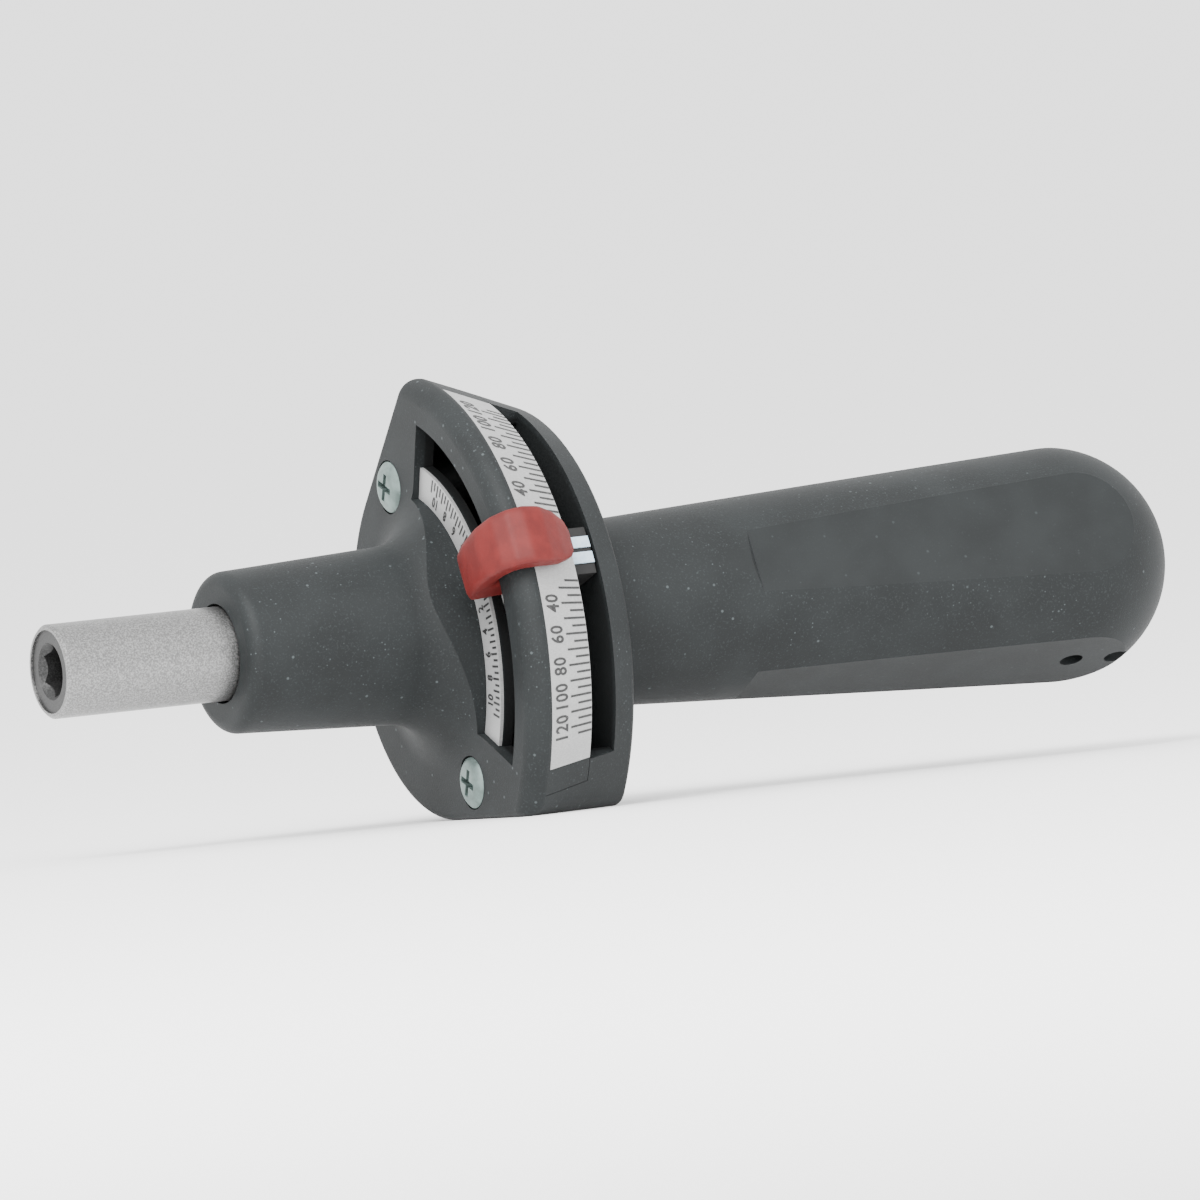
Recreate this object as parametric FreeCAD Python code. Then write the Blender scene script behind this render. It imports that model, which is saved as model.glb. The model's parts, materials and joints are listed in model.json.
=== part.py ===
import FreeCAD, Part
import math
import os
from FreeCAD import Placement, Rotation, Vector

# Dial torque screwdriver with a torsion bar, a swinging index and a drag pointer.
# Millimetres. The tool is built standing on its bit end: Z runs back along the tool
# from the front of the bit holder, X points to the dial side, and the dial's own
# centre lies dial_offset behind the tool axis. rest_pose() then lays the tool down on
# one flat side of its head, with the tool axis along +X.

# Stations along the tool, measured back from the front of the bit holder
nose_front = 26.8
flange_front = 61.0
flange_thick = 3.0
band_back = 72.0
slot_width = 4.7
rear_wall = 3.8
dome_centre = 159.5

# Dial, measured from the dial centre
dial_offset = 11.5
dial_half_angle = 47.0
pocket_half_angle = 48.5
scale_half_angle = 46.5
scale_end_gap = 0.2
pocket_radius = 24.8
ledge_radius = 29.5
ridge_inner_radius = 36.0
ridge_radius = 41.7
rear_rim_radius = 36.7
ridge_round = 2.8
scale_thick = 0.5
scale_gap = 0.05
ledge_depth = 1.4
seam_angle = 5.0
seam_gap = 0.1
seam_wall = 1.0

# Head outline, measured from the tool axis
head_radius = 27.4
side_splay = 23.0
corner_round = 3.4
edge_round = 1.0
head_wall = 3.0

# Nose
nose_tip_radius = 11.7
nose_root_radius = 13.2
nose_tip_round = 2.0
nose_flare = 8.5
nose_lip = 3.0

# Handle
neck_radius = 13.1
grip_radius = 17.0
neck_fillet = 3.0
handle_bore = 9.4
flat_start = 107.0
flat_start_height = 13.6
flat_end_height = 15.1
flat_ramp = 2.6
lanyard_hole = 1.7
lanyard_spread = 3.6
lanyard_station = 162.4
lanyard_sink = 0.6

# Bit holder and spindle
holder_radius = 6.8
holder_bore = 6.0
holder_bevel = 0.4
bit_flats = 6.35
bit_play = 0.1
insert_length = 20.0
insert_recess = 0.3
bit_depth = 14.0
bit_lead_in = 0.4
ring_station = 6.0
ring_wire = 0.4
ring_gap_angle = 30.0
journal_radius = 6.0
bush_wall = 2.5
bush_length = 10.0
fit = 0.03
shoulder_play = 0.2
nose_gap = 0.4
washer_thick = 0.8
crank_seat_radius = 4.6

# Crank, torsion bar and its anchor
crank_thick = 3.0
crank_hub_radius = 7.3
crank_eye_radius = 2.4
crank_pin_radius = 1.0
clip_thick = 0.6
clip_groove = 0.5
clip_reach = 1.2
bar_radius = 2.2
bar_waist_radius = 0.9
bar_grip = 16.0
bar_back = 160.0
cross_pin_radius = 1.0
anchor_flats = 15.0
anchor_length = 12.0

# Index lever
lever_front = 70.0
lever_thick = 2.0
pivot_radius = 1.5
pivot_sink = 1.8
hub_radius = 3.8
boss_radius = 3.3
hub_play = 0.2
hub_half_length = 3.4
bar_window_gap = 0.6
index_swing = 39.0
stirrup_wall = 1.9
stirrup_side_angle = 11.0
arm_half_width = 3.6
slot_gap = 0.05
tip_radius = 36.2
tip_inner_radius = 30.5
tip_gap = 0.4
dog_front = 67.6
mark_depth = 0.25
mark_width = 1.7
mark_space = 0.7

# Drag pointer
pointer_gap = 0.3
pointer_inner_radius = 25.0
pointer_front = 57.6
pointer_roof = 1.5
pointer_half_width = 3.5
pointer_bulge = 4.4
leg_end = 67.2
rail_depth = 0.9
rail_front = 65.2
rail_width = 2.4
finger_thick = 1.3
pointer_spring_thick = 0.3
pointer_spring_length = 2.6
pointer_spring_half_width = 2.6

# Cover screws
screw_side = 23.4
screw_back = 1.4
screw_head_radius = 3.7
screw_head_height = 1.7
screw_sink = 0.9
screw_shank_radius = 1.6
screw_length = 12.0
screw_boss_radius = 3.6
cross_width = 0.9
cross_span = 4.0
cross_depth = 1.0

# Derived stations
flange_back = flange_front + flange_thick
wall_front = band_back + slot_width
wall_back = wall_front + rear_wall
pocket_floor = flange_front + ledge_depth
bush_radius = journal_radius + bush_wall
shoulder = nose_front + nose_lip - shoulder_play
bush_front = nose_front + nose_lip
crank_front = flange_back + washer_thick + shoulder_play
crank_back = crank_front + crank_thick
spindle_back = crank_back + clip_thick + 2 * clip_groove
lever_back = lever_front + lever_thick
lever_middle = (lever_front + lever_back) / 2
hub_front = lever_middle - hub_half_length
hub_back = lever_middle + hub_half_length
handle_end = dome_centre + grip_radius
ridge_back = flange_front + ridge_round
far = 4 * ridge_radius

TURN = 360.0
DIAL = Vector(-dial_offset, 0, 0)


def cylinder(radius, front, back, centre=Vector(0, 0, 0)):
    return Part.makeCylinder(radius, back - front, centre + Vector(0, 0, front))


def tube(outer, inner, front, back, centre=Vector(0, 0, 0)):
    return cylinder(outer, front, back, centre).cut(cylinder(inner, front, back, centre))


def box(x0, x1, half_width, front, back):
    return Part.makeBox(x1 - x0, 2 * half_width, back - front, Vector(x0, -half_width, front))


def sector(inner, outer, half_angle, front, back, centre=DIAL):
    """Ring sector about the dial centre, symmetric about the dial side."""
    base = Part.makeCylinder(outer, back - front, Vector(), Vector(0, 0, 1), 2 * half_angle)
    if inner > 0:
        base = base.cut(Part.makeCylinder(inner, back - front))
    base.Placement = Placement(centre + Vector(0, 0, front), Rotation(Vector(0, 0, 1), -half_angle))
    return base


def turned(edges, centre=Vector(0, 0, 0), angle=TURN):
    """Solid turned about a line along the tool; edges hold (station, radius) pairs."""
    face = Part.Face(Part.Wire(Part.__sortEdges__(edges)))
    face.translate(centre)
    solid = face.revolve(centre, Vector(0, 0, 1), angle)
    solid.rotate(centre, Vector(0, 0, 1), -angle / 2)
    return solid


def at(station, radius):
    return Vector(radius, 0, station)


def chain(*points):
    """Edges through (station, radius) pairs; a pair of pairs is an arc's middle and end."""
    edges = []
    here = at(*points[0])
    for point in points[1:] + (points[0],):
        if isinstance(point[0], tuple):
            middle, end = at(*point[0]), at(*point[1])
            edges.append(Part.Arc(here, middle, end).toShape())
        else:
            end = at(*point)
            if end.distanceToPoint(here) > 1e-7:
                edges.append(Part.makeLine(here, end))
        here = end
    return edges


def arc_through(centre, radius, start_angle, end_angle):
    """Middle and end of an arc in the (station, radius) plane, angles in degrees."""
    return (spot(centre, radius, (start_angle + end_angle) / 2), spot(centre, radius, end_angle))


def spot(centre, radius, angle):
    """Point of a circle in the (station, radius) plane; 0 degrees is towards the handle."""
    turn = math.radians(angle)
    return (centre[0] + radius * math.cos(turn), centre[1] + radius * math.sin(turn))


def band_radius(station):
    """Radius of the dial's cone at a station, from the ridge to the rear rim."""
    share = (station - ridge_back) / (wall_front - ridge_back)
    return ridge_radius + share * (rear_rim_radius - ridge_radius)


def head_outline(inset=0.0):
    """Round back with two flat sides that splay towards the dial."""
    radius = head_radius - inset
    splay = math.radians(side_splay)
    touch = Vector(-radius * math.sin(splay), radius * math.cos(splay), 0)
    tip = touch + Vector(math.cos(splay), math.sin(splay), 0) * far
    mirror = lambda v: Vector(v.x, -v.y, 0)
    back = Part.Arc(mirror(touch), Vector(-radius, 0, 0), touch).toShape()
    sides = [Part.makeLine(touch, tip), Part.makeLine(tip, mirror(tip)), Part.makeLine(mirror(tip), mirror(touch))]
    return Part.Face(Part.Wire([back] + sides))


def head_block(front, back, inset=0.0):
    face = head_outline(inset)
    face.translate(Vector(0, 0, front))
    return face.extrude(Vector(0, 0, back - front))


def head_form():
    """Outer form of the whole head: the outline cut by the cone of the dial."""
    wide, narrow = band_radius(flange_front), band_radius(wall_back)
    cone = turned(chain((flange_front, 0), (flange_front, wide), (wall_back, narrow), (wall_back, 0)), DIAL)
    solid = head_block(flange_front, wall_back).common(cone)
    solid = solid.makeFillet(corner_round, [e for e in solid.Edges if is_head_corner(e)])
    solid = solid.common(ridge_form())
    for station in (flange_front, wall_back):
        rim = [e for e in solid.Edges if all(abs(v.Z - station) < fit for v in e.Vertexes)]
        solid = solid.makeFillet(edge_round, rim)
    return solid


def is_head_corner(edge):
    """Edges where a flat side meets the cone of the dial."""
    ends = [v.Point for v in edge.Vertexes]
    along = len(ends) == 2 and abs(ends[0].z - ends[1].z) > rear_wall
    return along and min(abs(p.y) for p in ends) > head_radius


def ridge_form():
    """Turned body that rounds the ridge at the front of the dial."""
    middle = (ridge_back, ridge_radius - ridge_round)
    return turned(chain(
        (flange_front, 0),
        (flange_front, middle[1]),
        arc_through(middle, ridge_round, 180, 90),
        (ridge_back, far),
        (wall_back, far),
        (wall_back, 0)), DIAL)


def nose_form():
    """Tapered nose with a rounded tip that flares into the flange."""
    slope = math.atan((nose_root_radius - nose_tip_radius) / (flange_front - nose_front))
    tip_middle = (nose_front + nose_tip_round, nose_tip_radius - nose_tip_round)
    flare_station = flange_front - nose_flare
    root = nose_tip_radius + (flare_station - nose_front) * math.tan(slope)
    flare_middle = (flare_station, root + nose_flare / math.cos(slope))
    bottom = -90 + math.degrees(slope)
    flare_start = spot(flare_middle, nose_flare, bottom)
    return turned(chain(
        (nose_front, 0),
        (nose_front, tip_middle[1]),
        arc_through(tip_middle, nose_tip_round, 180, 90 + math.degrees(slope)),
        flare_start,
        arc_through(flare_middle, nose_flare, bottom, 0),
        (flange_back, flare_middle[1]),
        (flange_back, 0)))


def screw_places():
    return [Vector(-screw_back, side * screw_side, 0) for side in (-1, 1)]


def seat_zone(gap=0.0):
    """Space of the cover's arch that carries the rim scale, with the seams round it."""
    angle = dial_half_angle + seam_angle + math.degrees(gap / ridge_radius)
    return sector(ridge_inner_radius - gap, far, angle, flange_back - fit, band_back + gap)


def dial_window(front, back):
    return sector(0, far, dial_half_angle, front, back)


def front_cover():
    """Nose, flange and the arch of the dial in one moulding."""
    head = head_form()
    flange = head.common(head_block(flange_front, flange_back))
    arch = head.common(seat_zone()).common(head_block(flange_front, band_back))
    cover = flange.fuse([arch, nose_form()])
    cover = cover.cut(sector(pocket_radius, ridge_inner_radius, pocket_half_angle, nose_front, pocket_floor))
    cover = cover.cut(sector(ledge_radius, ridge_inner_radius, pocket_half_angle, flange_front, flange_back))
    cover = cover.cut(scale_zone(scale_gap))
    cover = cover.cut(sector(ridge_inner_radius - fit, ridge_inner_radius + rail_depth, dial_half_angle,
                             rail_front, rail_front + rail_width))
    cover = cover.cut(cylinder(holder_radius + nose_gap, nose_front, bush_front))
    cover = cover.cut(cylinder(bush_radius, bush_front, flange_back))
    cover = cover.fuse(tube(boss_radius, pivot_radius, flange_back, hub_front - hub_play, DIAL))
    cover = cover.cut(cylinder(pivot_radius, flange_back - pivot_sink, hub_front, DIAL))
    for place in screw_places():
        cover = cover.cut(cylinder(screw_shank_radius + fit, flange_front, flange_back, place))
        cover = cover.cut(cylinder(screw_head_radius + nose_gap / 2, nose_front, flange_front + screw_sink, place))
    return cover.removeSplitter()


def scale_zone(gap=0.0):
    """Thin conical band let into the arch behind the ridge."""
    front, back = ridge_back + scale_thick - gap, band_back + gap
    drop = scale_thick + gap
    band = turned(chain(
        (front, band_radius(front) - drop),
        (front, band_radius(front) + drop * (gap > 0)),
        (back, band_radius(back) + drop * (gap > 0)),
        (back, band_radius(back) - drop)), DIAL)
    angle = scale_half_angle + math.degrees(gap / ridge_radius)
    return band.common(sector(0, far, angle, front, back))


def rim_scale():
    return scale_zone()


def face_scale():
    return sector(pocket_radius + scale_gap, ledge_radius, pocket_half_angle - scale_end_gap,
                  pocket_floor - scale_thick, pocket_floor)


def grip_profile():
    """Neck, taper and domed end of the handle, as (station, radius) edges."""
    rise = (grip_radius - neck_radius) / (dome_centre - wall_back)
    lean = math.degrees(math.atan(rise))
    slack = grip_radius / math.cos(math.radians(lean))
    start = spot((dome_centre, 0), grip_radius, 90 + lean)
    first = (wall_back - rear_wall / 2, 0)
    neck = slack - (dome_centre - first[0]) * rise
    return chain(first, (first[0], neck), start,
                 arc_through((dome_centre, 0), grip_radius, 90 + lean, 0))


def flat_cutter():
    """Wedge that leaves one long flat with a ramp at its front end."""
    slope = (flat_end_height - flat_start_height) / (dome_centre - flat_start)
    last = flat_start_height + (handle_end - flat_start) * slope
    points = [at(flat_start - flat_ramp, flat_start_height + flat_ramp), at(flat_start, flat_start_height),
              at(handle_end, last), at(handle_end, far), at(flat_start - flat_ramp, far)]
    face = Part.Face(Part.makePolygon(points + points[:1]))
    face.translate(Vector(0, -grip_radius, 0))
    return face.extrude(Vector(0, 2 * grip_radius, 0))


def lanyard_passage():
    """Curved hole that enters and leaves through one flat near the dome."""
    height = flat_end_height + lanyard_sink
    ring = Part.makeTorus(lanyard_spread, lanyard_hole, Vector(), Vector(0, 1, 0))
    ring.translate(Vector(height, 0, lanyard_station))
    return ring


def cavity():
    """Hollow of the head behind the flange, open to the dial side."""
    room = cylinder(ridge_inner_radius - seam_wall, flange_back, wall_front, DIAL)
    hollow = head_block(flange_back, wall_front, head_wall).common(room)
    return hollow.fuse(dial_window(flange_back, wall_front))


def handle_shell():
    """Rear shell of the head and the gripped handle in one moulding."""
    head = head_form().common(head_block(flange_back, wall_back))
    grip = turned(grip_profile())
    for quarter in range(4):
        cutter = flat_cutter()
        cutter.rotate(Vector(), Vector(0, 0, 1), quarter * TURN / 4)
        grip = grip.cut(cutter)
    shell = head.cut(cavity())
    for place in screw_places():
        boss = cylinder(screw_boss_radius, flange_back, wall_front + fit, place)
        shell = shell.fuse(boss.common(head))
    shell = shell.fuse(grip)
    shell = shell.cut(seat_zone(seam_gap))
    shell = shell.fuse(cylinder(boss_radius, hub_back + hub_play, wall_front + fit, DIAL))
    shell = shell.cut(cylinder(pivot_radius, hub_back, wall_front + pivot_sink, DIAL))
    for place in screw_places():
        shell = shell.cut(cylinder(screw_shank_radius + fit, flange_back,
                                   flange_front + screw_sink + screw_length + fit, place))
    shell = shell.cut(cylinder(handle_bore, hub_back, bar_back - anchor_length))
    shell = shell.cut(hexagon(anchor_flats + 2 * fit, bar_back - anchor_length, bar_back + 2 * fit))
    passage = lanyard_passage()
    passage.rotate(Vector(), Vector(0, 0, 1), TURN / 4)
    return shell.cut(passage).removeSplitter()


def hexagon(flats, front, back):
    corner = flats / math.sqrt(3)
    turns = [math.radians(60 * i) for i in range(7)]
    wire = Part.makePolygon([Vector(corner * math.cos(a), corner * math.sin(a), front) for a in turns])
    return Part.Face(wire).extrude(Vector(0, 0, back - front))


def cover_screws():
    """Two pan-head screws with cross recesses, heads let into the flange."""
    top = flange_front + screw_sink - screw_head_height
    screws = []
    for place in screw_places():
        head = turned(chain(
            (flange_front + screw_sink, 0),
            (flange_front + screw_sink, screw_head_radius),
            (top + screw_head_height / 2, screw_head_radius),
            ((top + screw_head_height / 6, screw_head_radius * 0.8), (top, screw_head_radius / 2)),
            (top, 0)), place)
        shank = cylinder(screw_shank_radius, flange_front + screw_sink, flange_front + screw_sink + screw_length,
                         place)
        screw = head.fuse(shank)
        for turn in (45, 135):
            bar = box(-cross_span / 2, cross_span / 2, cross_width / 2, top - fit, top + cross_depth)
            bar.rotate(Vector(), Vector(0, 0, 1), turn)
            bar.translate(place)
            screw = screw.cut(bar)
        screws.append(screw.removeSplitter())
    return Part.makeCompound(screws)


def bit_holder():
    """Bright sleeve and the journal of the spindle, turned from one bar."""
    sleeve = turned(chain(
        (0, holder_bore),
        (0, holder_radius - holder_bevel),
        (holder_bevel, holder_radius),
        (shoulder, holder_radius),
        (shoulder, journal_radius),
        (crank_front, journal_radius),
        (crank_front, crank_seat_radius),
        (spindle_back, crank_seat_radius),
        (spindle_back, 0),
        (insert_length + insert_recess, 0),
        (insert_length + insert_recess, holder_bore)))
    sleeve = sleeve.cut(cylinder(bar_radius, spindle_back - bar_grip, spindle_back))
    sleeve = sleeve.cut(cross_pin_form(journal_radius + 1.0, 0.0))
    groove = tube(crank_seat_radius + 1.0, crank_seat_radius - clip_groove,
                  crank_back, crank_back + clip_thick + fit)
    return sleeve.cut(groove)


def cross_pin_form(reach, play):
    """Pin through the spindle and the front end of the torsion bar."""
    pin = Part.makeCylinder(cross_pin_radius - play, 2 * reach, Vector(0, -reach, 0), Vector(0, 1, 0))
    pin.translate(Vector(0, 0, spindle_back - bar_grip / 2))
    return pin


def hex_insert():
    """Black insert with the hexagonal bit socket and its ring groove."""
    front, back = insert_recess, insert_length + insert_recess
    body = cylinder(holder_bore - fit, front, back)
    body = body.cut(hexagon(bit_flats + bit_play, front, front + bit_depth))
    lead = Part.makeCone((bit_flats + bit_play) / math.sqrt(3) + bit_lead_in, bit_flats / 2,
                         bit_lead_in * 3, Vector(0, 0, front))
    body = body.cut(lead)
    return body.cut(cylinder(bit_flats / 2 + 2 * ring_wire, ring_station - ring_wire * 1.2,
                             ring_station + ring_wire * 1.2))


def bit_ring():
    """Open wire ring that grips the bit."""
    path_radius = bit_flats / 2 + ring_wire
    wire = Part.Face(Part.Wire(Part.makeCircle(ring_wire, at(ring_station, path_radius), Vector(0, 1, 0))))
    ring = wire.revolve(Vector(), Vector(0, 0, 1), TURN - ring_gap_angle)
    ring.rotate(Vector(), Vector(0, 0, 1), ring_gap_angle / 2)
    return ring


def bush(front):
    return tube(bush_radius - fit / 3, journal_radius + fit, front, front + bush_length)


def thrust_washer():
    return tube(crank_hub_radius, journal_radius + fit, flange_back, flange_back + washer_thick)


def crank_arm():
    """Hub on the spindle with an arm that carries the crank pin."""
    hub = cylinder(crank_hub_radius, crank_front, crank_back)
    eye = cylinder(crank_eye_radius, crank_front, crank_back, Vector(dial_offset, 0, 0))
    web = box(0, dial_offset, crank_eye_radius, crank_front, crank_back)
    arm = hub.fuse([eye, web])
    arm = arm.cut(cylinder(crank_seat_radius, crank_front, crank_back))
    return arm.cut(cylinder(crank_pin_radius, crank_front, crank_back, Vector(dial_offset, 0, 0))).removeSplitter()


def crank_pin():
    return cylinder(crank_pin_radius, crank_front, lever_back + lever_thick / 2, Vector(dial_offset, 0, 0))


def crank_clip():
    """Open clip in the spindle groove behind the crank arm."""
    clip = tube(crank_seat_radius + clip_reach, crank_seat_radius - clip_groove + fit,
                crank_back + fit / 2, crank_back + clip_thick)
    return clip.cut(box(-far, 0, crank_seat_radius / 2, crank_back, crank_back + 2 * clip_thick))


def torsion_bar():
    """Spring bar with a thick head at each end and a waist that twists."""
    head, step = bar_radius - fit / 3, bar_radius - bar_waist_radius
    front, back = spindle_back - bar_grip + fit, bar_back - 2 * fit
    bar = turned(chain(
        (front, 0),
        (front, head),
        (spindle_back - step, head),
        (spindle_back, bar_waist_radius),
        (bar_back - anchor_length, bar_waist_radius),
        (bar_back - anchor_length + step, head),
        (back, head),
        (back, 0)))
    return bar.cut(cross_pin_form(journal_radius, 0.0))


def cross_pin():
    return cross_pin_form(journal_radius - shoulder_play, fit / 3)


def bar_anchor():
    """Hexagonal insert in the handle that holds the rear end of the torsion bar."""
    body = hexagon(anchor_flats, bar_back - anchor_length, bar_back)
    return body.cut(cylinder(bar_radius + fit, bar_back - anchor_length, bar_back))


def pivot_pin():
    return cylinder(pivot_radius - fit / 3, flange_back - pivot_sink + fit, wall_front + pivot_sink - fit, DIAL)


def index_lever():
    """Slotted lever on the pivot pin; its tip stands in the slot behind the rim scale."""
    inner = dial_offset - bar_radius - bar_window_gap
    outer = dial_offset + bar_radius + bar_window_gap
    window_angle = index_swing + math.degrees(math.asin((bar_radius + 2 * bar_window_gap) / dial_offset))
    stirrup = sector(0, outer + stirrup_wall, window_angle + stirrup_side_angle, lever_front, lever_back)
    stirrup = stirrup.cut(sector(inner, outer, window_angle, lever_front, lever_back))
    arm = box(outer, ridge_inner_radius - 2 * tip_gap, arm_half_width, lever_front, lever_back)
    arm.translate(DIAL)
    hub = cylinder(hub_radius, hub_front, hub_back, DIAL)
    tip = index_tip()
    lever = stirrup.fuse([arm, hub, tip])
    lever = lever.cut(crank_slot())
    lever = lever.cut(cylinder(pivot_radius + fit, hub_front, hub_back, DIAL))
    return lever.removeSplitter()


def crank_slot():
    """Radial slot that follows the crank pin while both turn."""
    near = 2 * dial_offset * math.cos(math.radians(index_swing))
    wide = crank_pin_radius + slot_gap
    ends = [cylinder(wide, lever_front, lever_back, DIAL + Vector(r, 0, 0)) for r in (near, 2 * dial_offset)]
    middle = box(near, 2 * dial_offset, wide, lever_front, lever_back)
    middle.translate(DIAL)
    return middle.fuse(ends)


def index_tip():
    """Block at the end of the lever, with the dog in front of it and the mark behind."""
    tip_angle = math.degrees(arm_half_width / tip_radius)
    low = sector(tip_inner_radius, ridge_inner_radius - 2 * tip_gap, tip_angle, dog_front, wall_front - tip_gap)
    high = sector(tip_inner_radius, tip_radius, tip_angle, band_back + tip_gap, wall_front - tip_gap)
    return low.fuse(high)


def index_marks():
    """Two pale bars laid on the outer face of the index tip."""
    bars = []
    for side in (-1, 1):
        bar = sector(tip_radius, tip_radius + mark_depth, math.degrees(mark_width / 2 / tip_radius),
                     band_back + tip_gap, wall_front - tip_gap)
        bar.rotate(DIAL, Vector(0, 0, 1), side * math.degrees((mark_width + mark_space) / 2 / tip_radius))
        bars.append(bar)
    return Part.makeCompound(bars)


def drag_pointer():
    """Saddle that rides on the ridge: tongue over the face scale, leg in the pocket, finger on the rim scale."""
    gap = pointer_gap
    crest = ridge_radius + gap + pointer_roof
    back = band_back - gap
    ridge_middle = (ridge_back, ridge_radius - ridge_round)
    under = ridge_round + gap
    leg_inner = ledge_radius + 2 * gap
    leg_outer = ridge_inner_radius - gap
    hook = ridge_inner_radius + rail_depth - gap
    tongue_back = pocket_floor - scale_thick - gap
    tip = band_radius(back) + gap
    profile = chain(
        (tongue_back, pointer_inner_radius),
        (pointer_front + 1.2, pointer_inner_radius),
        ((pointer_front - 0.6, (pointer_inner_radius + ridge_inner_radius) / 2 + 3.0),
         (pointer_front + 1.5, ridge_radius - 0.5)),
        ((pointer_front + 3.4, crest + 0.3), (ridge_back + 1.5, crest + 0.2)),
        (back - 1.0, tip + finger_thick),
        (back, tip + finger_thick / 2),
        (back, tip),
        (ridge_back, ridge_radius + gap),
        arc_through(ridge_middle, under, 90, 180),
        (flange_front - gap, leg_outer),
        (rail_front + gap, leg_outer),
        (rail_front + gap, hook),
        (rail_front + rail_width - gap, hook),
        (leg_end, leg_outer),
        (leg_end, leg_inner),
        (tongue_back, leg_inner))
    return turned(profile, DIAL).common(pointer_plan()).cut(spring_zone(fit))


def spring_zone(play=0.0):
    """Flat pocket under the saddle, facing the front of the ridge."""
    back = flange_front - pointer_gap
    angle = math.degrees((pointer_spring_half_width + play) / ridge_inner_radius)
    return sector(ridge_inner_radius - play, ridge_inner_radius + pointer_spring_length + play, angle,
                  back - pointer_spring_thick - play, back)


def pointer_spring():
    """Leaf let into the saddle that drags on the ridge."""
    return spring_zone()


def pointer_plan():
    """Width of the pointer seen from the front: straight, bulged over the ridge, rounded tip."""
    w, b = pointer_half_width, pointer_bulge
    bulge_at = ridge_radius - 1.0
    edge = [Vector(pointer_inner_radius - 1, w, 0), Vector(ridge_inner_radius - 2, w, 0),
            Vector(bulge_at, b, 0), Vector(far, b, 0)]
    mirror = [Vector(v.x, -v.y, 0) for v in reversed(edge)]
    face = Part.Face(Part.makePolygon(edge + mirror + edge[:1]))
    plan = face.extrude(Vector(0, 0, band_back))
    plan.translate(DIAL)
    return plan


def rest_pose(shapes):
    """Lays the tool on one flat side of its head, bit end towards -X, centred over the origin."""
    splay = math.radians(side_splay)
    dial_side = Vector(0, -math.cos(splay), math.sin(splay))
    pose = Placement(Vector(), Rotation(dial_side, Vector(), Vector(1, 0, 0), "ZXY"))
    whole = Part.makeCompound(list(shapes))
    whole.Placement = pose
    size = whole.optimalBoundingBox(False)
    pose.move(Vector(-(size.XMin + size.XMax) / 2, -(size.YMin + size.YMax) / 2, -size.ZMin))
    return pose


def nodes():
    return {
        "front_cover": front_cover(),
        "handle_shell": handle_shell(),
        "rim_scale": rim_scale(),
        "face_scale": face_scale(),
        "cover_screws": cover_screws(),
        "front_bush": bush(bush_front),
        "rear_bush": bush(flange_back - bush_length),
        "pivot_pin": pivot_pin(),
        "bar_anchor": bar_anchor(),
        "bit_holder": bit_holder(),
        "hex_insert": hex_insert(),
        "bit_ring": bit_ring(),
        "thrust_washer": thrust_washer(),
        "crank_arm": crank_arm(),
        "crank_pin": crank_pin(),
        "crank_clip": crank_clip(),
        "torsion_bar": torsion_bar(),
        "cross_pin": cross_pin(),
        "index_lever": index_lever(),
        "index_marks": index_marks(),
        "drag_pointer": drag_pointer(),
        "pointer_spring": pointer_spring(),
    }


def main():
    os.makedirs("parts", exist_ok=True)
    shapes = nodes()
    pose = rest_pose(shapes.values())
    for name, shape in shapes.items():
        shape.Placement = pose.multiply(shape.Placement)
        shape.exportStep("parts/" + name + ".step")


main()
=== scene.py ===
import json
import math

import bpy
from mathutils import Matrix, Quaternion, Vector


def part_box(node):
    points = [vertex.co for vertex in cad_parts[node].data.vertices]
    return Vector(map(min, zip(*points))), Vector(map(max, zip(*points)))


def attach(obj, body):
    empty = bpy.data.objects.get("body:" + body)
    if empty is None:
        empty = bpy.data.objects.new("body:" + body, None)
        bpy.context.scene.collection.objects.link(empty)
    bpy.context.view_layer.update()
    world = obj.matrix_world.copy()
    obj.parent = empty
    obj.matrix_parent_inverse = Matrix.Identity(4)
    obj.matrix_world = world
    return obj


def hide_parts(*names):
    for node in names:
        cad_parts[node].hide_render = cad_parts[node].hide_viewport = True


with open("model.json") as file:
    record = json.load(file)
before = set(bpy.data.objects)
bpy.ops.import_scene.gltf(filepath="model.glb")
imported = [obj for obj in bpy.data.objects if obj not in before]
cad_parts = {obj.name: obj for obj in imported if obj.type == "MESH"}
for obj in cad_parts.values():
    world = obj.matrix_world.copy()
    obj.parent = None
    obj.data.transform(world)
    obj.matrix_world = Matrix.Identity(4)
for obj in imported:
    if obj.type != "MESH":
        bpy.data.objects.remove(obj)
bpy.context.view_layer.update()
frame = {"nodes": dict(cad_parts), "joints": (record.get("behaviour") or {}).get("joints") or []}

MM = 0.001

# The tool's own directions: back along the handle, towards the dial, and across the dial
TOOL_AXIS = Vector((1, 0, 0))
joints = {joint["name"]: joint for joint in frame["joints"]}
tool_centre = Vector(joints["drive_turn"]["pos_m"])
dial_centre = Vector(joints["index_turn"]["pos_m"])
toward_dial = Vector((0, tool_centre.y - dial_centre.y, tool_centre.z - dial_centre.z)).normalized()
across_dial = toward_dial.cross(TOOL_AXIS)

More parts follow.
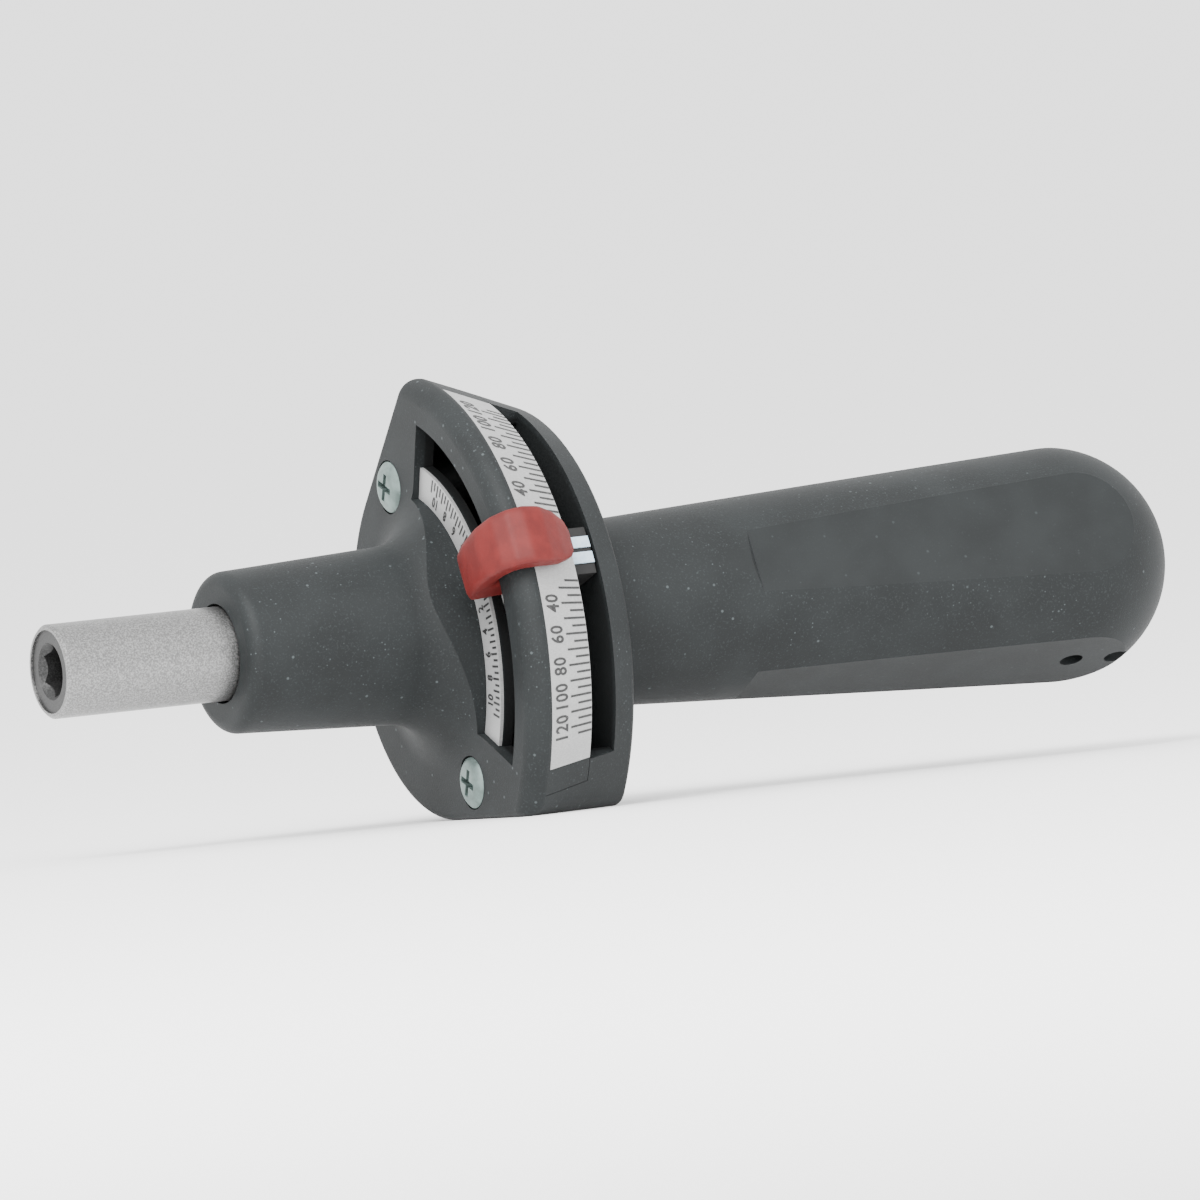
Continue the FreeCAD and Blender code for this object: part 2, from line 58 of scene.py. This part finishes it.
# Scales: the rim scale is marked either way from zero, the face scale repeats it in a coarser unit
UNIT_ANGLE = math.radians(0.3215)
RIM_FIRST, RIM_LAST, RIM_STEP = 25, 125, 5
RIM_NUMBERS = (40, 60, 80, 100, 120)
FACE_UNIT = 11.3
FACE_LAST = 11.0
FACE_STEP = 0.5
FACE_NUMBERS = (2, 4, 6, 8, 10)
PRINT_LIFT = 0.02 * MM
PRINT_THICK = 0.03 * MM
TICK_WIDTH = 0.31 * MM
NUMBER_WEIGHT = 0.065 * MM
NUMBER_SPACING = 1.12
CAPITAL_SHARE = 0.69  # height of a number in the built-in font, as a share of the font's size
RIM_TICKS = {"foot": 0.1 * MM, "long": 4.2 * MM, "short": 2.7 * MM, "long_every": 10}
RIM_LABELS = {"foot": 5.0 * MM, "height": 2.4 * MM, "squeeze": 0.72}
FACE_TICKS = {"foot": 0.3 * MM, "long": 1.9 * MM, "short": 1.3 * MM, "long_every": 1}
FACE_LABELS = {"foot": 2.5 * MM, "height": 1.5 * MM, "squeeze": 0.8}

# The head's two flat sides splay towards the dial
HEAD_SPLAY = math.radians(23)

# Where the painted shade of the hollow fades out: dial radius under the arch, and distance to a flat side
HOLLOW_FADE = (35.4 * MM, 36.2 * MM)
WALL_FADE = (25.0 * MM, 26.0 * MM)

# Brightness of the plain surroundings
SURROUND = 2.3
FLOOR_PAINT = 0.86
FLOOR_SIZE = 60


# ---------------------------------------------------------------- finishes

class Value:
    """A number in a finish's node tree; Python arithmetic on it adds Math nodes."""

    def __init__(self, finish, socket):
        self.finish = finish
        self.socket = socket

    def math(self, operation, *others):
        return self.finish.add("ShaderNodeMath", {"operation": operation}, dict(enumerate((self, *others))))

    def __add__(self, other):
        return self.math("ADD", other)

    __radd__ = __add__

    def __sub__(self, other):
        return self.math("SUBTRACT", other)

    def __rsub__(self, other):
        return self.finish.add("ShaderNodeMath", {"operation": "SUBTRACT"}, {0: other, 1: self})

    def __mul__(self, other):
        return self.math("MULTIPLY", other)

    __rmul__ = __mul__

    def __pow__(self, other):
        return self.math("POWER", other)

    def step(self, low, high):
        """0 below low, 1 above high, smooth between."""
        return self.finish.add("ShaderNodeMapRange", {"interpolation_type": "SMOOTHSTEP"},
                               {"Value": self, "From Min": low, "From Max": high})


class Finish:
    """A material with one Principled shader and short ways to add nodes to it."""

    def __init__(self, name, roughness, metallic=0.0, **fixed):
        self.material = bpy.data.materials.new(name)
        self.material.use_nodes = True
        self.tree = self.material.node_tree
        self.shader = self.tree.nodes["Principled BSDF"]
        self.shader.inputs["Roughness"].default_value = roughness
        self.shader.inputs["Metallic"].default_value = metallic
        for socket, value in fixed.items():
            self.shader.inputs[socket.replace("_", " ")].default_value = value
        self.place = self.add("ShaderNodeTexCoord", output="Object")
        self.normal = self.add("ShaderNodeNewGeometry", output="Normal")

    def add(self, kind, settings=None, inputs=None, output=0):
        node = self.tree.nodes.new(kind)
        for name, value in (settings or {}).items():
            setattr(node, name, value)
        for name, value in (inputs or {}).items():
            self.feed(node.inputs[name], value)
        return Value(self, node.outputs[output])

    def feed(self, socket, value):
        if isinstance(value, Value):
            self.tree.links.new(value.socket, socket)
        else:
            socket.default_value = value

    def set(self, socket, value):
        self.feed(self.shader.inputs[socket], value)

    def mix(self, factor, first, second):
        """Colour between first and second."""
        node = self.tree.nodes.new("ShaderNodeMix")
        node.data_type = "RGBA"
        for index, value in ((0, factor), (6, first), (7, second)):
            self.feed(node.inputs[index], value)
        return Value(self, node.outputs[2])

    def along(self, direction):
        """Distance along a direction of the row frame, in metres."""
        return self.add("ShaderNodeVectorMath", {"operation": "DOT_PRODUCT"},
                        {0: self.place, 1: direction}, "Value")

    def facing(self, direction):
        """Cosine between the surface and a direction of the row frame."""
        return self.add("ShaderNodeVectorMath", {"operation": "DOT_PRODUCT"},
                        {0: self.normal, 1: direction}, "Value")

    def stretched(self, scale):
        return self.add("ShaderNodeMapping", None, {"Vector": self.place, "Scale": scale})

    def noise(self, size, detail=2.0, rough=0.5, place=None):
        """Cloudy noise between 0 and 1 with features about as large as size, in metres."""
        return self.add("ShaderNodeTexNoise", None,
                        {"Vector": place or self.place, "Scale": 1 / size, "Detail": detail,
                         "Roughness": rough})

    def specks(self, size, share):
        """1 inside scattered round specks, which fill about that share of the cells."""
        cells = self.tree.nodes.new("ShaderNodeTexVoronoi")
        self.feed(cells.inputs["Vector"], self.place)
        cells.inputs["Scale"].default_value = 1 / size
        near = 1 - Value(self, cells.outputs["Distance"]).step(0.15, 0.35)
        chosen = self.add("ShaderNodeSeparateColor", None, {"Color": Value(self, cells.outputs["Color"])})
        return near * chosen.step(1 - share, 1 - share * 0.8)

    def bump(self, height, depth, strength=1.0):
        self.set("Normal", self.add("ShaderNodeBump", None,
                                    {"Height": height, "Distance": depth, "Strength": strength}))


def grey(level, tint=(1.0, 1.0, 1.0)):
    return (level * tint[0], level * tint[1], level * tint[2], 1.0)


def moulded_plastic():
    """Dark moulded plastic with a spark-eroded grain; the hand flats are finer and flatter. Shade is
    painted into the hollow of the head behind the dial.
    """
    f = Finish("moulded_plastic", 0.5, Specular_IOR_Level=0.24)
    tint = (0.84, 1.0, 1.04)
    flats = flat_mask(f)
    grain = f.noise(0.3 * MM, 3.0, 0.6)
    cloud = f.noise(9 * MM, 2.0)
    patch = f.noise(14 * MM, 2.0)
    fine = f.noise(0.12 * MM, 1.0)
    speckle = f.specks(0.45 * MM, 0.10) * patch.step(0.4, 0.65) + f.specks(0.8 * MM, 0.02)
    base = f.mix(cloud.step(0.3, 0.7), grey(0.0095, tint), grey(0.0135, tint))
    base = f.mix(grain.step(0.52, 0.75) * (1 - flats * 0.75), base, grey(0.026, tint))
    base = f.mix(speckle * (1 - flats * 0.7), base, grey(0.060, tint))
    # Painted shade: the hollow behind the dial's openings gets a near-black base colour
    f.set("Base Color", f.mix(inside_mask(f), base, grey(0.0025, tint)))
    f.set("Roughness", 0.54 + grain * 0.16 - flats * 0.04)
    f.bump(grain * (1 - flats * 0.7) + fine * 0.35, 0.045 * MM, 0.55)
    return f.material


def flat_mask(f):
    """1 on the four flats of the handle, 0 on the rounded lands and on the head."""
    flats = 0.0
    for direction in (toward_dial, across_dial):
        side = f.facing(tuple(direction)).math("ABSOLUTE")
        flats = side.step(0.985, 0.995) + flats
    grip_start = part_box("handle_shell")[0].x + 38 * MM
    return flats * f.along((1, 0, 0)).step(grip_start, grip_start + 1 * MM)


def inside_mask(f):
    """1 in the unlit hollow of the head that shows through the dial's openings, where shade is painted into
    the plastic's colour.
    """
    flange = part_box("face_scale")[1].x
    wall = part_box("index_lever")[1].x
    station = f.along((1, 0, 0))
    between = station.step(flange, flange + 0.4 * MM) * (1 - station.step(wall, wall + 1.0 * MM))
    toward = f.along(tuple(toward_dial)) - tool_centre.dot(toward_dial)
    across = (f.along(tuple(across_dial)) - tool_centre.dot(across_dial)).math("ABSOLUTE")
    from_dial = ((toward + (tool_centre - dial_centre).dot(toward_dial)) ** 2 + across ** 2) ** 0.5
    behind_band = 1 - from_dial.step(*HOLLOW_FADE)
    from_flat = across * math.cos(HEAD_SPLAY) - toward * math.sin(HEAD_SPLAY)
    return between * behind_band * (1 - from_flat.step(*WALL_FADE))


def satin_steel():
    """Bead-blasted and turned steel of the sleeve, with faint rings and a mottled sheen."""
    f = Finish("satin_steel", 0.34, 1.0)
    rings = f.noise(0.18 * MM, 2.0, 0.6, f.stretched((1.0, 0.05, 0.05)))
    blast = f.noise(0.25 * MM, 2.0, 0.6)
    cloud = f.noise(5 * MM, 2.0)
    f.set("Base Color", f.mix(blast.step(0.35, 0.7), grey(0.17, (1, 1, 0.99)), grey(0.33, (1, 1, 0.99))))
    f.set("Roughness", 0.30 + blast * 0.14 + cloud * 0.08)
    f.bump(rings * 0.6 + blast, 0.012 * MM, 0.5)
    return f.material


def plain_steel(name, level, roughness, tint=(1.0, 1.0, 1.0)):
    """Machined metal of the hidden pieces and springs, finely grained."""
    f = Finish(name, roughness, 1.0)
    grain = f.noise(0.2 * MM, 3.0, 0.6)
    f.set("Base Color", f.mix(grain.step(0.3, 0.7), grey(level * 0.82, tint), grey(level, tint)))
    f.set("Roughness", roughness - 0.05 + grain * 0.12)
    f.bump(grain, 0.008 * MM, 0.4)
    return f.material


def zinc_plate():
    """Pale green-grey plating of the cover screws, dulled in the recess."""
    f = Finish("zinc_plate", 0.42, 0.75)
    cloud = f.noise(1.6 * MM, 3.0, 0.6)
    grain = f.noise(0.2 * MM, 2.0)
    f.set("Base Color", f.mix(cloud.step(0.3, 0.7), grey(0.17, (0.76, 1.0, 0.93)),
                              grey(0.25, (0.78, 1.0, 0.95))))
    f.set("Roughness", 0.38 + cloud * 0.18)
    f.bump(grain, 0.01 * MM, 0.4)
    return f.material


def scale_silver():
    """Satin silver surface of the printed scales."""
    f = Finish("scale_silver", 0.45, 0.35)
    brushed = f.noise(0.15 * MM, 2.0, 0.6, f.stretched((0.12, 1.0, 1.0)))
    cloud = f.noise(6 * MM, 2.0)
    base = f.mix(brushed.step(0.3, 0.7), grey(0.30, (1, 1.005, 1.0)), grey(0.38, (1, 1.005, 1.0)))
    f.set("Base Color", f.mix(cloud.step(0.4, 0.7) * 0.3, base, grey(0.28)))
    f.set("Roughness", 0.40 + brushed * 0.15)
    f.bump(brushed, 0.006 * MM, 0.4)
    return f.material


def print_black():
    """Thin black print of the ticks and numbers, a little patchy."""
    f = Finish("print_black", 0.5)
    patch = f.noise(0.3 * MM, 2.0)
    f.set("Base Color", f.mix(patch.step(0.45, 0.8), grey(0.012), grey(0.045)))
    f.set("Roughness", 0.45 + patch * 0.2)
    return f.material


def index_black():
    """Dull black of the index lever."""
    f = Finish("index_black", 0.6, Specular_IOR_Level=0.3)
    grain = f.noise(0.25 * MM, 3.0)
    f.set("Base Color", f.mix(grain, grey(0.008), grey(0.016)))
    f.set("Roughness", 0.55 + grain * 0.2)
    f.bump(grain, 0.01 * MM, 0.4)
    return f.material


def mark_white():
    """Pale blue-white paint of the two index bars."""
    f = Finish("mark_white", 0.45)
    patch = f.noise(0.5 * MM, 2.0)
    f.set("Base Color", f.mix(patch.step(0.3, 0.7), (0.36, 0.47, 0.56, 1), (0.44, 0.54, 0.62, 1)))
    f.set("Roughness", 0.40 + patch * 0.15)
    return f.material


def pointer_red():
    """Matt red plastic, slightly mottled, with faint paler flecks all over."""
    f = Finish("pointer_red", 0.55, Specular_IOR_Level=0.3)
    cloud = f.noise(2.5 * MM, 3.0, 0.55)
    grain = f.noise(0.3 * MM, 2.0)
    base = f.mix(cloud.step(0.3, 0.72), (0.088, 0.0055, 0.0045, 1), (0.118, 0.0085, 0.007, 1))
    f.set("Base Color", f.mix(grain.step(0.6, 0.8) * 0.3, base, (0.135, 0.017, 0.014, 1)))
    f.set("Roughness", 0.52 + grain * 0.14)
    f.bump(grain + cloud, 0.02 * MM, 0.4)
    return f.material


def black_steel():
    """Blackened steel of the bit socket insert."""
    f = Finish("black_steel", 0.38, 0.6)
    grain = f.noise(0.25 * MM, 3.0, 0.6)
    f.set("Base Color", f.mix(grain.step(0.35, 0.75), grey(0.020), grey(0.055)))
    f.set("Roughness", 0.32 + grain * 0.2)
    f.bump(grain, 0.01 * MM, 0.4)
    return f.material


def dress_nodes(red):
    """Gives every node of the frame its finish."""
    plastic = moulded_plastic()
    silver = scale_silver()
    bright = plain_steel("spring_steel", 0.60, 0.25)
    plain = plain_steel("plain_steel", 0.48, 0.40)
    bronze = plain_steel("sintered_bronze", 0.50, 0.45, (1.0, 0.74, 0.42))
    alloy = plain_steel("anchor_alloy", 0.62, 0.40)
    finishes = {
        "front_cover": plastic, "handle_shell": plastic,
        "rim_scale": silver, "face_scale": silver,
        "cover_screws": zinc_plate(), "bit_holder": satin_steel(), "hex_insert": black_steel(),
        "bit_ring": bright, "crank_clip": bright, "torsion_bar": bright, "pointer_spring": bright,
        "pivot_pin": plain, "thrust_washer": plain, "crank_pin": plain, "cross_pin": plain,
        "crank_arm": plain, "front_bush": bronze, "rear_bush": bronze, "bar_anchor": alloy,
        "index_lever": index_black(), "index_marks": mark_white(), "drag_pointer": red,
    }
    for name, node in frame["nodes"].items():
        for slot in node.material_slots:
            slot.material = finishes[name]


# ---------------------------------------------------------------- scale print

def radius_at(node, from_back):
    """Largest distance from the dial centre at the node's front or back end."""
    low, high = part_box(node)
    end = high.x if from_back else low.x
    edge = [v.co for v in frame["nodes"][node].data.vertices if abs(v.co.x - end) < 0.05 * MM]
    return max(math.hypot(co.y - dial_centre.y, co.z - dial_centre.z) for co in edge)


def on_dial(station, radius, angle):
    """Point at a station along the tool, a radius and an angle from the dial's zero line."""
    point = dial_centre + (toward_dial * math.cos(angle) + across_dial * math.sin(angle)) * radius
    return Vector((station, point.y, point.z))


class Band:
    """The cone that the rim scale is printed on; back is the way down it from its rear edge."""

    def __init__(self, node):
        low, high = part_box(node)
        self.front, self.rear = low.x, high.x
        self.front_radius, self.rear_radius = radius_at(node, False), radius_at(node, True)
        self.length = math.hypot(self.rear - self.front, self.front_radius - self.rear_radius)

    def spot(self, up, round_angle, lift):
        share = up / self.length
        slope = math.atan2(self.front_radius - self.rear_radius, self.rear - self.front)
        station = self.rear + (self.front - self.rear) * share + math.sin(slope) * lift
        radius = self.rear_radius + (self.front_radius - self.rear_radius) * share + math.cos(slope) * lift
        return on_dial(station, radius, round_angle)

    def radius(self, up):
        return self.rear_radius + (self.front_radius - self.rear_radius) * up / self.length


class Plate:
    """The flat plate of the face scale; up is the way in from its outer edge."""

    def __init__(self, node):
        low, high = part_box(node)
        self.station = low.x
        self.outer = radius_at(node, False)

    def spot(self, up, round_angle, lift):
        return on_dial(self.station - lift, self.outer - up, round_angle)

    def radius(self, up):
        return self.outer - up


def only(obj):
    """Leaves just this object selected and active."""
    bpy.ops.object.select_all(action="DESELECT")
    obj.select_set(True)
    bpy.context.view_layer.objects.active = obj


def lay_print(obj, ground, up, angle):
    """Bends a flat slab, drawn with X round the dial and Y up the scale, onto its scale."""
    for vertex in obj.data.vertices:
        height = up + vertex.co.y
        turn = angle + vertex.co.x / ground.radius(height)
        vertex.co = ground.spot(height, turn, PRINT_LIFT + vertex.co.z)


def slab(width, length):
    """Thin bar with its foot at the origin, along Y."""
    bpy.ops.object.select_all(action="DESELECT")
    bpy.ops.mesh.primitive_plane_add(size=1)
    obj = bpy.context.object
    bpy.ops.object.mode_set(mode="EDIT")
    bpy.ops.mesh.select_all(action="SELECT")
    bpy.ops.transform.resize(value=(width, length, 1))
    bpy.ops.transform.translate(value=(0, length / 2, 0))
    bpy.ops.mesh.extrude_region_move(TRANSFORM_OT_translate={"value": (0, 0, PRINT_THICK)})
    bpy.ops.mesh.select_all(action="SELECT")
    bpy.ops.mesh.normals_make_consistent(inside=False)
    bpy.ops.object.mode_set(mode="OBJECT")
    return obj


def number(text, height, squeeze):
    """Solid number, centred across, standing on the X axis."""
    bpy.ops.object.select_all(action="DESELECT")
    bpy.ops.object.text_add()
    obj = bpy.context.object
    obj.data.body = text
    obj.data.align_x = "CENTER"
    obj.data.size = height / CAPITAL_SHARE
    obj.data.extrude = PRINT_THICK / 2
    obj.data.offset = NUMBER_WEIGHT
    obj.data.resolution_u = 3
    obj.data.space_character = NUMBER_SPACING
    bpy.ops.object.convert(target="MESH")
    bpy.ops.object.mode_set(mode="EDIT")
    bpy.ops.mesh.select_all(action="SELECT")
    bpy.ops.mesh.remove_doubles(threshold=0.002 * MM)
    bpy.ops.transform.resize(value=(squeeze, 1, 1))
    bpy.ops.transform.translate(value=(0, 0, PRINT_THICK / 2))
    bpy.ops.object.mode_set(mode="OBJECT")
    return obj


def joined(pieces, name, material, body):
    bpy.ops.object.select_all(action="DESELECT")
    for piece in pieces:
        piece.select_set(True)
    bpy.context.view_layer.objects.active = pieces[0]
    bpy.ops.object.join()
    whole = bpy.context.object
    whole.name = name
    whole.data.materials.clear()
    whole.data.materials.append(material)
    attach(whole, body)
    return whole


def scale_print(name, ground, values, numbers, unit_angle, ticks, labels, black):
    """Ticks and numbers both ways from zero, joined into one printed piece."""
    marks = []
    for side in (-1, 1):
        for value in values:
            length = ticks["long" if value % ticks["long_every"] == 0 else "short"]
            tick = slab(TICK_WIDTH, length)
            lay_print(tick, ground, ticks["foot"], side * value * unit_angle)
            marks.append(tick)
        for value in numbers:
            label = number(str(value), labels["height"], labels["squeeze"])
            lay_print(label, ground, labels["foot"], side * value * unit_angle)
            marks.append(label)
    return joined(marks, name, black, "housing")


def rim_print(black):
    values = range(RIM_FIRST, RIM_LAST + 1, RIM_STEP)
    return scale_print("rim_scale_print", Band("rim_scale"), values, RIM_NUMBERS, UNIT_ANGLE,
                       RIM_TICKS, RIM_LABELS, black)


def face_print(black):
    values = [count * FACE_STEP for count in range(1, int(FACE_LAST / FACE_STEP) + 1)]
    return scale_print("face_scale_print", Plate("face_scale"), values, FACE_NUMBERS,
                       FACE_UNIT * UNIT_ANGLE, FACE_TICKS, FACE_LABELS, black)


# ---------------------------------------------------------------- drag pointer

# Cuts through the pointer from its foot in the pocket, round the ridge, to its tip: each has
# a front corner and a rear corner as (station, dial radius), and half its width, in mm
POINTER_CUTS = (
    ((66.6, 30.3), (66.6, 35.6), 3.2),
    ((62.6, 30.0), (63.6, 35.6), 3.4),
    ((58.9, 29.4), (61.0, 35.4), 3.5),
    ((57.9, 30.8), (60.6, 36.0), 3.5),
    ((57.2, 34.8), (60.6, 37.4), 3.65),
    ((57.5, 38.9), (60.7, 39.3), 3.9),
    ((58.7, 42.2), (61.3, 41.0), 4.15),
    ((60.7, 44.1), (62.4, 41.9), 4.3),
    ((63.2, 44.9), (64.0, 42.2), 4.4),
    ((66.0, 44.5), (65.6, 41.9), 4.3),
    ((68.6, 43.1), (68.0, 40.8), 3.8),
    ((70.6, 41.6), (70.1, 39.9), 2.9),
    ((71.6, 40.5), (71.3, 39.4), 1.5),
)
LONG_CREASE = 0.45
FOOT_CREASE = 0.85


def middle_of(cut):
    (front_station, front_radius), (rear_station, rear_radius) = cut[:2]
    return Vector(((front_station + rear_station) / 2, 0, (front_radius + rear_radius) / 2)) * MM


def lean_of(cut):
    """Angle of a cut from straight out of the dial, towards the handle."""
    (front_station, front_radius), (rear_station, rear_radius) = cut[:2]
    return math.atan2(rear_station - front_station, rear_radius - front_radius)


def depth_of(cut):
    return math.dist(cut[0], cut[1]) * MM


def turn_selected(angle, centre):
    """Leans the selection; the operator counts the angle the other way with no window open."""
    bpy.ops.transform.rotate(value=-angle, orient_axis="Y", center_override=centre)


def sweep_cut(last, cut):
    """Extrudes the selected end face from one cut of the pointer to the next."""
    centre = middle_of(last)
    bpy.ops.mesh.extrude_region_move()
    turn_selected(-lean_of(last), centre)
    bpy.ops.transform.resize(value=(1, cut[2] / last[2], depth_of(cut) / depth_of(last)),
                             center_override=centre)
    turn_selected(lean_of(cut), centre)
    bpy.ops.transform.translate(value=middle_of(cut) - centre)


def crease_edges(obj, chosen, amount):
    bpy.ops.mesh.select_all(action="DESELECT")
    bpy.ops.object.mode_set(mode="OBJECT")
    for edge in obj.data.edges:
        ends = [obj.data.vertices[i].co for i in edge.vertices]
        edge.select = chosen(*ends)
    bpy.ops.object.mode_set(mode="EDIT")
    bpy.ops.mesh.select_mode(type="EDGE")
    bpy.ops.transform.edge_crease(value=amount)


def pointer_saddle(red):
    """Soft-edged saddle over the ridge, with its foot in the pocket and a rounded tip."""
    first = POINTER_CUTS[0]
    bpy.ops.object.select_all(action="DESELECT")
    bpy.ops.mesh.primitive_plane_add(size=1, rotation=(0, math.pi / 2, 0))
    obj = bpy.context.object
    bpy.ops.object.transform_apply(rotation=True)
    bpy.ops.object.mode_set(mode="EDIT")
    bpy.ops.mesh.select_all(action="SELECT")
    bpy.ops.transform.resize(value=(1, 2 * first[2] * MM, depth_of(first)), center_override=(0, 0, 0))
    turn_selected(lean_of(first), (0, 0, 0))
    bpy.ops.transform.translate(value=middle_of(first))
    for last, cut in zip(POINTER_CUTS, POINTER_CUTS[1:]):
        sweep_cut(last, cut)
    bpy.ops.mesh.select_all(action="SELECT")
    bpy.ops.mesh.normals_make_consistent(inside=False)
    crease_edges(obj, lambda a, b: a.y * b.y > 0 and (a - b).length > 0.5 * MM, LONG_CREASE)
    foot = POINTER_CUTS[2][0][1] * MM
    crease_edges(obj, lambda a, b: max(a.z, b.z) < foot + 0.2 * MM, FOOT_CREASE)
    bpy.ops.object.mode_set(mode="OBJECT")
    rounding = obj.modifiers.new("rounding", "SUBSURF")
    rounding.levels = rounding.render_levels = 3
    bpy.ops.object.modifier_apply(modifier=rounding.name)
    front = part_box("bit_holder")[0].x
    for vertex in obj.data.vertices:
        along, side, out = vertex.co
        axis_point = Vector((front + along, dial_centre.y, dial_centre.z))
        vertex.co = axis_point + toward_dial * out + across_dial * side
    only(obj)
    bpy.ops.object.mode_set(mode="EDIT")
    bpy.ops.mesh.select_all(action="SELECT")
    bpy.ops.mesh.normals_make_consistent(inside=False)
    bpy.ops.object.mode_set(mode="OBJECT")
    bpy.ops.object.shade_smooth()
    obj.name = "pointer_saddle"
    obj.data.materials.append(red)
    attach(obj, "pointer")
    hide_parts("drag_pointer")
    return obj


# ---------------------------------------------------------------- studio

def floor():
    """Pale floor as bright far away as the surroundings behind it, so that no edge shows."""
    bpy.ops.object.select_all(action="DESELECT")
    bpy.ops.mesh.primitive_plane_add(size=FLOOR_SIZE)
    plane = bpy.context.object
    plane.name = "floor"
    f = Finish("floor_paint", 1.0, Specular_IOR_Level=0.0,
               Emission_Strength=(1 - FLOOR_PAINT) * SURROUND)
    f.set("Base Color", grey(FLOOR_PAINT))
    f.set("Emission Color", grey(1.0))
    plane.data.materials.append(f.material)


def softbox(name, place, size, power):
    """Square area light that looks at the head of the tool."""
    data = bpy.data.lights.new(name, "AREA")
    data.size = size
    data.energy = power
    lamp = bpy.data.objects.new(name, data)
    bpy.context.scene.collection.objects.link(lamp)
    lamp.location = place
    lamp.rotation_mode = "QUATERNION"
    lamp.rotation_quaternion = (tool_centre - Vector(place)).to_track_quat("-Z", "Y")


def studio():
    world = bpy.data.worlds.new("studio")
    world.use_nodes = True
    world.node_tree.nodes["Background"].inputs["Color"].default_value = grey(1.0)
    world.node_tree.nodes["Background"].inputs["Strength"].default_value = SURROUND
    bpy.context.scene.world = world
    softbox("key", (-0.8, -0.9, 1.2), 0.8, 45)
    softbox("side", (-0.3, -1.8, 1.0), 0.8, 14)


def camera():
    """Long lens from the bit end and the dial side, level with the tool and rolled with its axis."""
    azimuth, elevation, roll = math.radians(-25.25), math.radians(0.95), math.radians(-5.65)
    distance, lens = 5.078, 1059.9
    back = Vector((math.sin(azimuth) * math.cos(elevation),
                   -math.cos(azimuth) * math.cos(elevation), math.sin(elevation)))
    turn = (-back).to_track_quat("-Z", "Y") @ Quaternion((0, 0, 1), roll)
    aim = turn @ Vector((-4.3 * MM, 29.0 * MM, 0))
    data = bpy.data.cameras.new("camera")
    data.lens = lens
    data.sensor_width = 36
    data.clip_start, data.clip_end = 0.1, 100
    view = bpy.data.objects.new("camera", data)
    bpy.context.scene.collection.objects.link(view)
    view.rotation_mode = "QUATERNION"
    view.location = aim + back * distance
    view.rotation_quaternion = turn
    bpy.context.scene.camera = view


red = pointer_red()
dress_nodes(red)
pointer_saddle(red)
black = print_black()
rim_print(black)
face_print(black)
floor()
studio()
camera()
